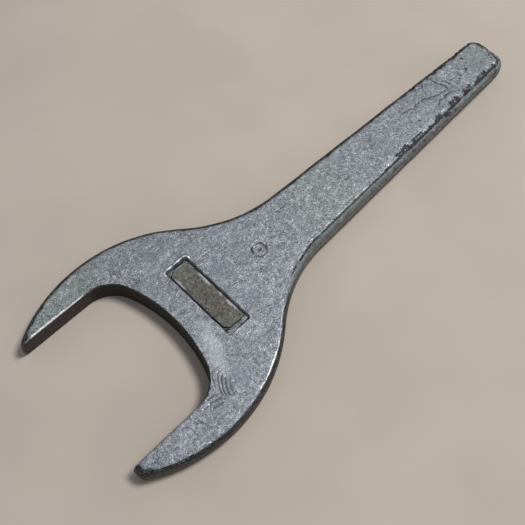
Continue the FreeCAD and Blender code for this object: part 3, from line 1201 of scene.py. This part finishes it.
@dataclass
class ForgedSkin:
    """Unevenness, wear and painted layers of the forging, in millimetres.

    The points are those of the wall, level by level, then of the top face, then of the underside.
    Spans are stations along the wrench between which something rises from 0 to 1, and limits
    tell how far round the rounded edge the dark wall reaches.
    """

    plan: ForgingPlan
    section: ForgingSection
    top: TopFace
    points: np.ndarray
    levels: list[Level]
    kinds: list[Run]
    rings: list[np.ndarray]
    face_count: int
    flat_span: Span = (14.0, 22.0)
    # Stations where the painted shade of the throat rises.
    throat_shade_span: Span = (14.0, 26.0)
    arm_span: Span = (18.0, 44.0)
    neck_span: Span = (66.0, 96.0)
    line_span: Span = (70.0, 86.0)
    far_span: Span = (130.0, 168.0)
    bite_span: Span = (172.0, 192.0)
    end_span: Span = (205.0, 225.0)
    bright_head: float = 52.0
    shoulder: float = 86.0
    green_middle: float = 118.0
    land_height: float = 0.7
    head_limit: float = 0.66
    handle_limit: float = 0.20
    # The +Y side and the noses take the dark finish higher up the edge, as painted shade.
    plus_limit: float = 0.84
    nose_limit: float = 0.90
    nose_drop: float = 1.1
    nose_length: float = 6.5
    underside_scale: float = 0.25

    def spread(self, values: list[float], rest: float) -> np.ndarray:
        """Give each level's value to its points on the wall and another value to the rest."""
        result = np.full(len(self.points), rest)
        result[:self.wall_count] = np.repeat(values, len(self.kinds))
        return result

    def from_ring(self, ring: np.ndarray) -> np.ndarray:
        """Distance in plan of every point from one level's outline."""
        return flat_distance(self.points[:, :2], ring[:, :2], True)

    def from_front(self, start: float, end: float, shift: np.ndarray | float = 0.0) -> np.ndarray:
        """Rise from 0 to 1 between two distances from the jaws' front."""
        return soft_step(self.x + shift, start - self.plan.reach, end - self.plan.reach)

    @cached_property
    def wall_count(self) -> int:
        """How many points the wall has."""
        return len(self.levels) * len(self.kinds)

    @cached_property
    def face(self) -> slice:
        """Where the points of the top face are."""
        return slice(self.wall_count, self.wall_count + self.face_count)

    @cached_property
    def x(self) -> np.ndarray:
        """Station along the wrench."""
        return self.points[:, 0]

    @cached_property
    def on_wall(self) -> np.ndarray:
        """1 on the wall, 0 on the faces."""
        return self.spread([1.0] * len(self.levels), 0.0)

    @cached_property
    def is_forged(self) -> np.ndarray:
        """True except along the machined jaw."""
        result = np.ones(len(self.points), dtype=bool)
        forged = [kind is Run.FORGED for kind in self.kinds]
        result[:self.wall_count] = np.tile(forged, len(self.levels))
        return result

    @cached_property
    def upward(self) -> np.ndarray:
        """True in the upper half of the wall and on the top face."""
        middle = self.section.thickness / 2
        result = self.spread([float(level.z > middle) for level in self.levels], 0.0) > 0.5
        result[self.face] = True
        return result

    @cached_property
    def top_side(self) -> np.ndarray:
        """True on the forged skin of the upper half."""
        return self.upward * self.is_forged

    @cached_property
    def turn(self) -> np.ndarray:
        """How far round the rounded edge each point lies, 1 on the faces."""
        return self.spread([level.turn for level in self.levels], 1.0)

    @cached_property
    def coarse(self) -> np.ndarray:
        """Coarse unevenness that every kind of wear follows."""
        return lumps(self.points, 2.6, 11) + 0.5 * lumps(self.points, 1.1, 12)

    @cached_property
    def fine(self) -> np.ndarray:
        """Fine unevenness."""
        return lumps(self.points, 0.9, 13)

    @cached_property
    def plus_side(self) -> np.ndarray:
        """1 on the +Y half, with a soft limit along the middle."""
        return soft_step(self.points[:, 1] - self.plan.middle + 2.5 * self.coarse, -6.0, 6.0)

    @cached_property
    def minus_side(self) -> np.ndarray:
        """1 on the -Y half."""
        return 1 - self.plus_side

    @cached_property
    def handle(self) -> np.ndarray:
        """1 on the handle, rising over the neck."""
        return soft_step(self.x, *self.neck_span)

    @cached_property
    def far(self) -> np.ndarray:
        """1 on the far half of the handle, rising before it."""
        return soft_step(self.x, *self.far_span)

    @cached_property
    def nose(self) -> np.ndarray:
        """1 at the jaws' noses."""
        return 1 - self.from_front(4, 9)

    @cached_property
    def side_band(self) -> np.ndarray:
        """1 on the upper wall of the handle's -Y side."""
        return self.top_side * self.on_wall * self.minus_side * self.handle

    @cached_property
    def limit(self) -> np.ndarray:
        """How far round the edge the wall's dark finish reaches, higher on the +Y side and at the noses as
        painted shade.
        """
        low = self.head_limit + (self.handle_limit - self.head_limit) * self.handle
        limit = low + (self.plus_limit - low) * self.plus_side
        limit = np.maximum(limit, self.nose_limit * self.nose)
        ragged = 0.07 * self.coarse + 0.05 * self.fine
        return limit + ragged * (1 - 0.6 * self.handle * self.minus_side)

    @cached_property
    def wall(self) -> np.ndarray:
        """Dark scaly finish of the wall, with painted shade on the lower half, higher up the +Y side and
        on the +Y nose.
        """
        wall = 1 - soft_step(self.turn, self.limit - 0.05, self.limit + 0.05)
        wall = wall * self.is_forged * self.on_wall
        # Painted shade: the whole lower half of the forged wall is dark.
        wall = np.maximum(wall, self.on_wall * ~self.upward * self.is_forged)
        # Painted shade on the top of the +Y nose, where the face slopes down away from the lamp.
        nose_top = (1 - self.from_front(3.8, 6.2, 0.9 * self.coarse)) * self.top_side
        return np.maximum(wall, nose_top * self.plus_side)

    @cached_property
    def marks(self) -> RimMarks:
        """Dark broken line, a bright line of wear and painted highlight inside it, chips, bites and nicks
        along the top edge.
        """
        rim = self.from_ring(self.rings[-1])
        signed = np.where(self.on_wall > 0, -rim, rim)
        patchy = soft_step(self.coarse, -0.1, 0.5)
        width = 0.38 + 0.32 * bell(self.x, self.shoulder, 20) + self.far * (0.65 + 1.0 * patchy)
        breaks = soft_step(-lumps(self.points, 6.0, 18), -0.15, 0.15)
        first = np.abs(signed + 0.15 - 0.4 * self.coarse)
        second = np.abs(signed - 1.4 - 0.4 * self.coarse) + 0.2 + 0.9 * breaks
        off_line = np.minimum(first, second)
        from_neck = soft_step(self.x, *self.line_span)
        gaps = soft_step(lumps(self.points, 4.0, 16), -0.55, -0.25)
        line = (1 - soft_step(off_line, width * 0.55, width)) * self.minus_side
        line = line * from_neck * self.top_side * gaps
        # Worn metal and painted highlight: a bright line just inside the dark rim line.
        light = bell(signed - width, 0.35, 0.3) * self.minus_side * from_neck * self.top_side
        light *= soft_step(lumps(self.points, 3.2, 19), -0.3, 0.2)
        middle = self.section.thickness / 2
        edge = next(i for i, level in enumerate(self.levels) if level.turn > 0.6 and level.z > middle)
        near = (1 - soft_step(self.from_ring(self.rings[edge]), 0.7, 2.2)) * self.top_side
        chips = near * self.far * self.minus_side * soft_step(self.coarse, 0.12, 0.42)
        bites = near * soft_step(self.x, *self.bite_span) * self.plus_side
        bites *= soft_step(self.coarse, 0.1, 0.4)
        return RimMarks(line, light, chips, bites, near * soft_step(self.coarse, 0.45, 0.75))

    def move(self, piece: bpy.types.Object) -> None:
        """Swell, chip and slump the surface of the piece."""
        normals = np.zeros(len(self.points) * 3)
        piece.data.vertices.foreach_get("normal", normals)
        normals = normals.reshape(-1, 3)
        marks = self.marks
        rough = np.where(self.is_forged, 1.0, 0.12)
        swell = 0.10 * lumps(self.points, 9.0, 1) + 0.06 * lumps(self.points, 3.6, 2)
        swell += 0.04 * lumps(self.points, 1.3, 8)
        line = (0.14 + 0.16 * self.far) * marks.line
        cut = np.maximum.reduce([0.35 * marks.chips, 0.5 * marks.bites, 0.2 * marks.nicks, line])
        step_down = self.top.flake_step(self.points) * self.upward * (self.turn > 0.5)
        slump = np.clip(1 - (self.x + self.plan.reach) / self.nose_length, 0.0, 1.0) ** 2
        height = np.clip(self.points[:, 2] / self.section.thickness * 2 - 1, 0.0, 1.0)
        moved = self.points + normals * (rough * swell)[:, None]
        moved -= normals * (cut + step_down)[:, None]
        moved[:, 2] -= self.nose_drop * slump * height
        piece.data.vertices.foreach_set("co", (moved * MM).ravel())
        piece.data.update()

    def jaw_layers(self) -> tuple[np.ndarray, np.ndarray, np.ndarray, np.ndarray]:
        """Machined flats, throat, rim with a painted highlight along the +Y flat, and dull rim of the jaw.
        """
        machined = ~self.is_forged * self.on_wall
        outset = self.spread([level.outset for level in self.levels], 1.0)
        flats = machined * (outset < 0.05)
        rim = machined * (outset >= 0.05) * self.upward
        flat_part = 1 - soft_step(self.x, *self.flat_span)
        # Painted highlight: a bright line along the top edge of the +Y flat, standing for the lamp's glint
        # on that edge.
        bright = rim * self.plus_side * flat_part * self.from_front(3.8, 6.0)
        dull = rim * (1 - self.plus_side * flat_part) * soft_step(self.coarse, -0.3, 0.3)
        return flats, machined * soft_step(self.x, *self.throat_shade_span), bright, dull

    def wear(self, painted_highlight_rim: np.ndarray, fresh_and_highlight: np.ndarray) -> np.ndarray:
        """Bright worn metal and painted highlights on the edges, the jaw's rim and the top face."""
        # The arris line of the -Y side of the head is worn metal and a painted highlight, brightest beside
        # the panel.
        arris = bell(self.turn - self.limit, 0.09, 0.07) * self.top_side * self.on_wall
        head = self.minus_side * (1 - self.handle) * (1 - self.nose)
        arris *= head * (0.45 + 0.75 * bell(self.x, self.bright_head, 12) + 0.5 * self.coarse)
        wear = np.maximum.reduce([arris, 1.3 * painted_highlight_rim, 0.85 * self.marks.light])
        wear[self.face] = np.maximum(wear[self.face], fresh_and_highlight)
        return wear

    def scale(self, throat: np.ndarray, dull_rim: np.ndarray) -> np.ndarray:
        """Near-black scale in the marks and the walls, and painted shade in the throat."""
        marks = self.marks
        draft_line = bell(self.turn - self.limit, 0.04, 0.05) * self.side_band
        land = np.abs(self.points[:, 2] - self.section.thickness / 2) < self.land_height
        land = self.on_wall * self.is_forged * land * self.handle
        blotchy = self.plus_side * soft_step(self.fine + self.coarse, -0.2, 0.5)
        scale = np.maximum.reduce([
            0.78 * marks.chips,
            0.76 * marks.bites,
            0.6 * marks.nicks,
            0.82 * marks.line,
            0.82 * draft_line,
            0.7 * land,
            0.6 * dull_rim,
            # Painted shade: the whole throat is darkened to near black.
            throat,
            0.8 * self.wall * blotchy,
        ])
        scale[self.wall_count + self.face_count:] = self.underside_scale
        return scale

    def dirt_and_shade(self, face_dirt_and_shade: np.ndarray) -> np.ndarray:
        """Dirt and painted shade of the top face, and dirt of the handle's rounded -Y edge."""
        dirt_and_shade = np.zeros(len(self.points))
        dirt_and_shade[self.face] = face_dirt_and_shade
        edge = 0.30 + 0.40 * soft_step(self.turn, 0.62, 0.92) + 0.3 * self.coarse
        return np.maximum(dirt_and_shade, edge * self.side_band * (self.turn > self.limit))

    def patches(self, patches: tuple[Patch, ...]) -> np.ndarray:
        """Strongest of some patches at each point of the upper half."""
        return np.max([patch.weight(self.points) for patch in patches], axis=0) * self.upward

    def green(self) -> np.ndarray:
        """Green cast on the +Y jaw, the middle of the handle and its end."""
        jaw = soft_step(self.points[:, 1], 14, 32) * (1 - soft_step(self.x, *self.arm_span))
        end = soft_step(self.x, *self.end_span)
        return np.maximum.reduce([jaw, 0.8 * self.side_band, end, bell(self.x, self.green_middle, 22)])

    def paint(self, piece: bpy.types.Object, face_dirt_and_shade: np.ndarray, fresh_and_highlight: np.ndarray) -> None:
        """Paint every layer that the finish reads.

        Args:
            piece: The forging.
            face_dirt_and_shade: Dirt and painted shade at each point of the top face.
            fresh_and_highlight: Fresh metal and painted highlights at each point of the top face.
        """
        flats, throat, painted_highlight_rim, dull_rim = self.jaw_layers()
        rubbed = np.maximum(self.patches(self.top.rubbed), 0.7 * self.side_band)
        for layer, values in (
            (Layer.WALL, self.wall),
            (Layer.JAW, flats),
            (Layer.WEAR_AND_HIGHLIGHT, self.wear(painted_highlight_rim, fresh_and_highlight)),
            (Layer.SCALE_AND_SHADE, self.scale(throat, dull_rim)),
            (Layer.DIRT_AND_SHADE, self.dirt_and_shade(face_dirt_and_shade)),
            (Layer.SHEEN, self.patches(self.top.pale)),
            (Layer.RUBBED, rubbed),
            (Layer.GREEN, self.green()),
            (Layer.STAIN, self.wall * self.minus_side * self.handle),
        ):
            paint(piece, layer, values)


@dataclass
class ForgedBody:
    """The forging with its machined jaw, sunk panel and stamped ring."""

    plan: ForgingPlan
    section: ForgingSection
    top: TopFace
    finish: ForgedSteelFinish
    grid: float = 0.56
    under_grid: float = 1.2

    def scatter(self, rim: np.ndarray, pitch: float, avoid: np.ndarray | None) -> np.ndarray:
        """Seeded points in staggered rows that fill an outline.

        Args:
            rim: Closed outline.
            pitch: Distance between points.
            avoid: Points that the new ones keep clear of.

        Returns:
            Rows of x, y.
        """
        low, high = rim.min(axis=0), rim.max(axis=0)
        columns = np.arange(low[0], high[0], pitch)
        rows = np.arange(low[1], high[1], pitch * 0.866)
        x, y = np.meshgrid(columns, rows)
        x[1::2] += pitch / 2
        points = np.column_stack([x.ravel(), y.ravel()])
        chance = np.random.default_rng(7)
        points += chance.uniform(-0.22, 0.22, points.shape) * pitch
        points = points[inside(points, rim)]
        cell = pitch * 0.6
        points = points[flat_distance(points, rim, True) > cell]
        if avoid is not None:
            taken = set(map(tuple, np.floor(avoid / cell).astype(int).tolist()))
            cells = np.floor(points / cell).astype(int).tolist()
            points = points[[tuple(c) not in taken for c in cells]]
        return points

    def build(self) -> bpy.types.Object:
        """Make the mesh, with its unevenness and painted layers."""
        levels = self.section.levels()
        rings = []
        kinds: list[Run] = []
        for level in levels:
            ring, kinds = self.plan.outline(level)
            rings.append(np.column_stack([ring, np.full(len(ring), level.z)]))
        walls = np.vstack(rings)
        under_rim, top_rim = rings[0][:, :2], rings[-1][:, :2]
        extra = self.top.samples()
        extra = extra[inside(extra, top_rim)]
        extra = extra[flat_distance(extra, top_rim, True) > 0.25]
        upper = np.vstack([extra, self.scatter(top_rim, self.grid, extra)])
        lower = self.scatter(under_rim, self.under_grid, None)
        faces = band_faces(len(levels), len(kinds), clockwise=True)
        faces += cap_faces(top_rim, upper, len(walls) - len(kinds), len(walls))
        under = cap_faces(under_rim, lower, 0, len(walls) + len(upper))
        faces += [face[::-1] for face in under]
        depth, dirt_and_shade, fresh_and_highlight = self.top.sink(upper)
        sunk = np.column_stack([upper, self.section.thickness - depth])
        points = np.vstack([walls, sunk, flat(lower)])
        piece = make_mesh("forged_body", points, faces)
        skin = ForgedSkin(
            self.plan, self.section, self.top, points, levels, kinds, rings, len(upper)
        )
        skin.move(piece)
        skin.paint(piece, dirt_and_shade, fresh_and_highlight)
        piece.data.set_sharp_from_angle(angle=SHARP_FROM)
        return piece

    def dress(self, piece: bpy.types.Object) -> None:
        """Give the piece its finish and its place in the part."""
        piece.data.materials.append(self.finish.material())
        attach(piece, "root")
        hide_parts(Node.BODY.value)


@dataclass
class MarkingPlate:
    """Thin uneven slab that lies in the sunk panel, in millimetres."""

    outline: RoundedBox
    floor: float
    thickness: float
    finish: PlateFinish
    grid: float = 0.42
    scrape_rise: float = 0.22

    def ragged_edge(self, base: np.ndarray) -> np.ndarray:
        """How far the slab's edge departs from its outline, with two worn corners at the front."""
        centre = np.array([self.outline.x, self.outline.y])
        half = np.array([self.outline.length_x, self.outline.length_y]) / 2
        spots = flat(base)
        ragged = 0.10 * lumps(spots, 2.4, 21) + 0.06 * lumps(spots, 0.9, 22) - 0.04
        for sign_y, worn in ((1, 0.7), (-1, 0.9)):
            corner = centre + half * np.array([-1, sign_y])
            ragged -= worn * bell(np.hypot(*(base - corner).T), 0.0, 1.6)
        return ragged - 0.45 * soft_step(base[:, 1] - centre[1], half[1] - 0.6, half[1])

    def build(self) -> bpy.types.Object:
        """Make the slab with rounded, slightly ragged edges."""
        steps = ((0.0, -0.10), (0.0, 0.0), (0.6, 0.0), (0.85, -0.05), (0.96, -0.13), (1.0, -0.26))
        base = self.outline.outline(0.0, 0.4)
        count = len(base)
        centre = np.array([self.outline.x, self.outline.y])
        half = np.array([self.outline.length_x, self.outline.length_y]) / 2
        ragged = self.ragged_edge(base)
        rows = []
        for share, offset in steps:
            factor = 1 + (offset + ragged)[:, None] / half
            ring = centre + (base - centre) * factor
            rows.append(np.column_stack([ring, np.full(count, self.floor + share * self.thickness)]))
        walls = np.vstack(rows)
        first_top = len(walls) - count
        rim = rows[-1][:, :2]
        inner = self.scatter(rim)
        faces = band_faces(len(steps), count)
        faces += cap_faces(rim, inner, first_top, len(walls))
        faces += [face[::-1] for face in cap_faces(rows[0][:, :2], np.empty((0, 2)), 0, 0)]
        spots = flat(inner)
        edge = flat_distance(inner, rim, True)
        uneven = 0.09 * lumps(spots, 5.0, 23) + 0.08 * lumps(spots, 1.8, 24) + 0.04 * lumps(spots, 0.8, 25)
        raised = self.scrape_rise * self.scraped(inner)
        top = self.floor + self.thickness + raised + uneven * soft_step(edge, 0.0, 0.6)
        points = np.vstack([walls, np.column_stack([inner, top])])
        piece = make_mesh("marking_plate_slab", points, faces)
        dirt_and_shade = np.zeros(len(points))
        # Painted shade on the slab's sides, darkest at the bottom in the gap round it.
        dirt_and_shade[:first_top] = np.repeat([1.0, 1.0, 0.9, 0.65, 0.3], count)
        wear = self.scraped(points[:, :2])
        wear[:first_top] *= 0.4
        along = points[:, 1] - centre[1]
        paint(piece, Layer.DIRT_AND_SHADE, dirt_and_shade * (1 - wear))
        paint(piece, Layer.WEAR_AND_HIGHLIGHT, wear)
        paint(piece, Layer.STAIN, soft_step(along, -12.5, -9.0) * (1 - soft_step(along, 8.5, 12.0)))
        return piece

    def scraped(self, plan: np.ndarray) -> np.ndarray:
        """Share of bare pale metal at each point, along the edges."""
        across = plan[:, 0] - self.outline.x
        along = plan[:, 1] - self.outline.y
        half_x, half_y = self.outline.length_x / 2, self.outline.length_y / 2
        ragged = 0.5 * lumps(flat(plan), 1.6, 26)
        rear = soft_step(across + ragged, half_x - 1.5, half_x - 0.9)
        stretches = bell(along, 5.0, 3.2, 4) + bell(along, -9.8, 3.0, 4) + bell(along, -3.6, 0.9)
        front = soft_step(-across + ragged, half_x - 1.3, half_x - 0.6) * bell(along, 9.6, 2.6, 4)
        end = soft_step(along + 0.6 * ragged, half_y - 1.0, half_y - 0.5)
        return np.clip(1.2 * np.maximum.reduce([rear * stretches, 0.7 * front, 0.7 * end]), 0.0, 1.0)

    def scatter(self, rim: np.ndarray) -> np.ndarray:
        """Seeded points in a square grid that fill the top of the slab."""
        low, high = rim.min(axis=0), rim.max(axis=0)
        x, y = np.meshgrid(np.arange(low[0], high[0], self.grid), np.arange(low[1], high[1], self.grid))
        points = np.column_stack([x.ravel(), y.ravel()])
        chance = np.random.default_rng(11)
        points += chance.uniform(-0.25, 0.25, points.shape) * self.grid
        points = points[inside(points, rim)]
        return points[flat_distance(points, rim, True) > self.grid * 0.6]

    def dress(self, piece: bpy.types.Object) -> None:
        """Give the piece its finish and its place in the part."""
        piece.data.materials.append(self.finish.material())
        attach(piece, "root")
        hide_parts(Node.PLATE.value)


@dataclass(frozen=True)
class Studio:
    """Floor, soft light and camera, in metres and degrees."""

    floor: FloorFinish
    camera_at: tuple[float, float, float] = (-0.0311, -0.0897, 0.2693)
    camera_turn: tuple[float, float, float] = (27.484, -3.394, -45.648)
    lens: float = 52.1
    key_from: tuple[float, float, float] = (0.38, -0.22, 1.10)
    key_size: float = 0.36
    key_power: float = 11.0
    sky: Colour = (0.93, 0.95, 1.0, 1)
    sky_strength: float = 0.37
    lamp_colour: tuple[float, float, float] = (1.0, 0.985, 0.96)
    lamp_aim: tuple[float, float, float] = (0.1, 0.0, 0.0)
    floor_half: float = 3.0
    floor_drop: float = 0.00015

    def build(self) -> None:
        """Make the floor, the lights and the camera."""
        self.build_floor()
        self.build_light()
        self.build_camera()

    def build_floor(self) -> None:
        """Lay a wide plain floor just under the wrench."""
        mesh = bpy.data.meshes.new("floor")
        signs = ((-1, -1), (1, -1), (1, 1), (-1, 1))
        corners = [(sx * self.floor_half, sy * self.floor_half, -self.floor_drop) for sx, sy in signs]
        mesh.from_pydata(corners, [], [(0, 1, 2, 3)])
        floor = bpy.data.objects.new("floor", mesh)
        bpy.context.scene.collection.objects.link(floor)
        mesh.materials.append(self.floor.material())
        floor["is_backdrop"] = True

    def build_light(self) -> None:
        """Hang one large soft lamp to the side and fill with an even pale sky."""
        lamp = bpy.data.lights.new("key_lamp", "AREA")
        lamp.shape = "DISK"
        lamp.size = self.key_size
        lamp.energy = self.key_power
        lamp.color = self.lamp_colour
        holder = bpy.data.objects.new("key_lamp", lamp)
        target = Vector(self.lamp_aim)
        holder.location = target + Vector(self.key_from)
        holder.rotation_euler = (target - holder.location).to_track_quat("-Z", "Y").to_euler()
        bpy.context.scene.collection.objects.link(holder)
        world = bpy.data.worlds.new("studio_sky")
        world.use_nodes = True
        background = world.node_tree.nodes["Background"]
        background.inputs["Color"].default_value = self.sky
        background.inputs["Strength"].default_value = self.sky_strength
        bpy.context.scene.world = world
        bpy.context.scene.view_settings.view_transform = "Standard"

    def build_camera(self) -> None:
        """Stand the camera over the jaws, looking along the handle."""
        data = bpy.data.cameras.new("camera")
        data.lens = self.lens
        data.sensor_width = 36.0
        camera = bpy.data.objects.new("camera", data)
        camera.location = self.camera_at
        camera.rotation_euler = Euler([math.radians(turn) for turn in self.camera_turn], "XYZ")
        bpy.context.scene.collection.objects.link(camera)
        bpy.context.scene.camera = camera


def in_millimetres(node: Node) -> tuple[Vector, Vector]:
    """Lowest and highest corner of a CAD node, in millimetres."""
    low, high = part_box(node.value)
    return Vector(low) / MM, Vector(high) / MM


def jaw_half_gap(record: dict) -> float:
    """Half the distance between the jaw flats in millimetres, from the record's flat-face mounts."""
    sides = [abs(m["pos_m"][1]) for m in record["mounts"] if m["name"].startswith("jaw_flat")]
    return max(sides) / MM


def main(record: dict, cad_box: tuple[Vector, Vector]) -> None:
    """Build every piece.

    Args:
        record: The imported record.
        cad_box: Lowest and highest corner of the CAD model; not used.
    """
    Studio(FloorFinish()).build()
    low, high = in_millimetres(Node.BODY)
    plate_low, plate_high = in_millimetres(Node.PLATE)
    thickness = high.z - low.z
    middle = (low.y + high.y) / 2
    plan = ForgingPlan(-low.x, high.x, middle, (high.y - low.y) / 2, jaw_half_gap(record))
    depth = thickness - plate_low.z
    panel_x = (plate_low.x + plate_high.x) / 2
    panel = RoundedBox(panel_x, middle, PANEL_WIDTH, PANEL_LENGTH, PANEL_CORNER)
    mark = (panel_x + PANEL_WIDTH / 2 + PANEL_TO_MARK, middle)
    top = TopFace(panel, depth, depth * math.tan(PANEL_WALL_LEAN), mark)
    body = ForgedBody(plan, ForgingSection(thickness), top, ForgedSteelFinish())
    forging = body.build()
    body.dress(forging)
    log.info("forged body: %d faces", len(forging.data.polygons))
    size = plate_high - plate_low
    outline = RoundedBox(panel.x, (plate_low.y + plate_high.y) / 2, size.x, size.y, PLATE_CORNER)
    plate = MarkingPlate(outline, plate_low.z, size.z, PlateFinish())
    slab = plate.build()
    plate.dress(slab)
    log.info("marking plate: %d faces", len(slab.data.polygons))


if __name__ == "__main__":
    logging.basicConfig(level=logging.INFO, format="%(message)s")
    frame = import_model()
    main(frame["record"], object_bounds())
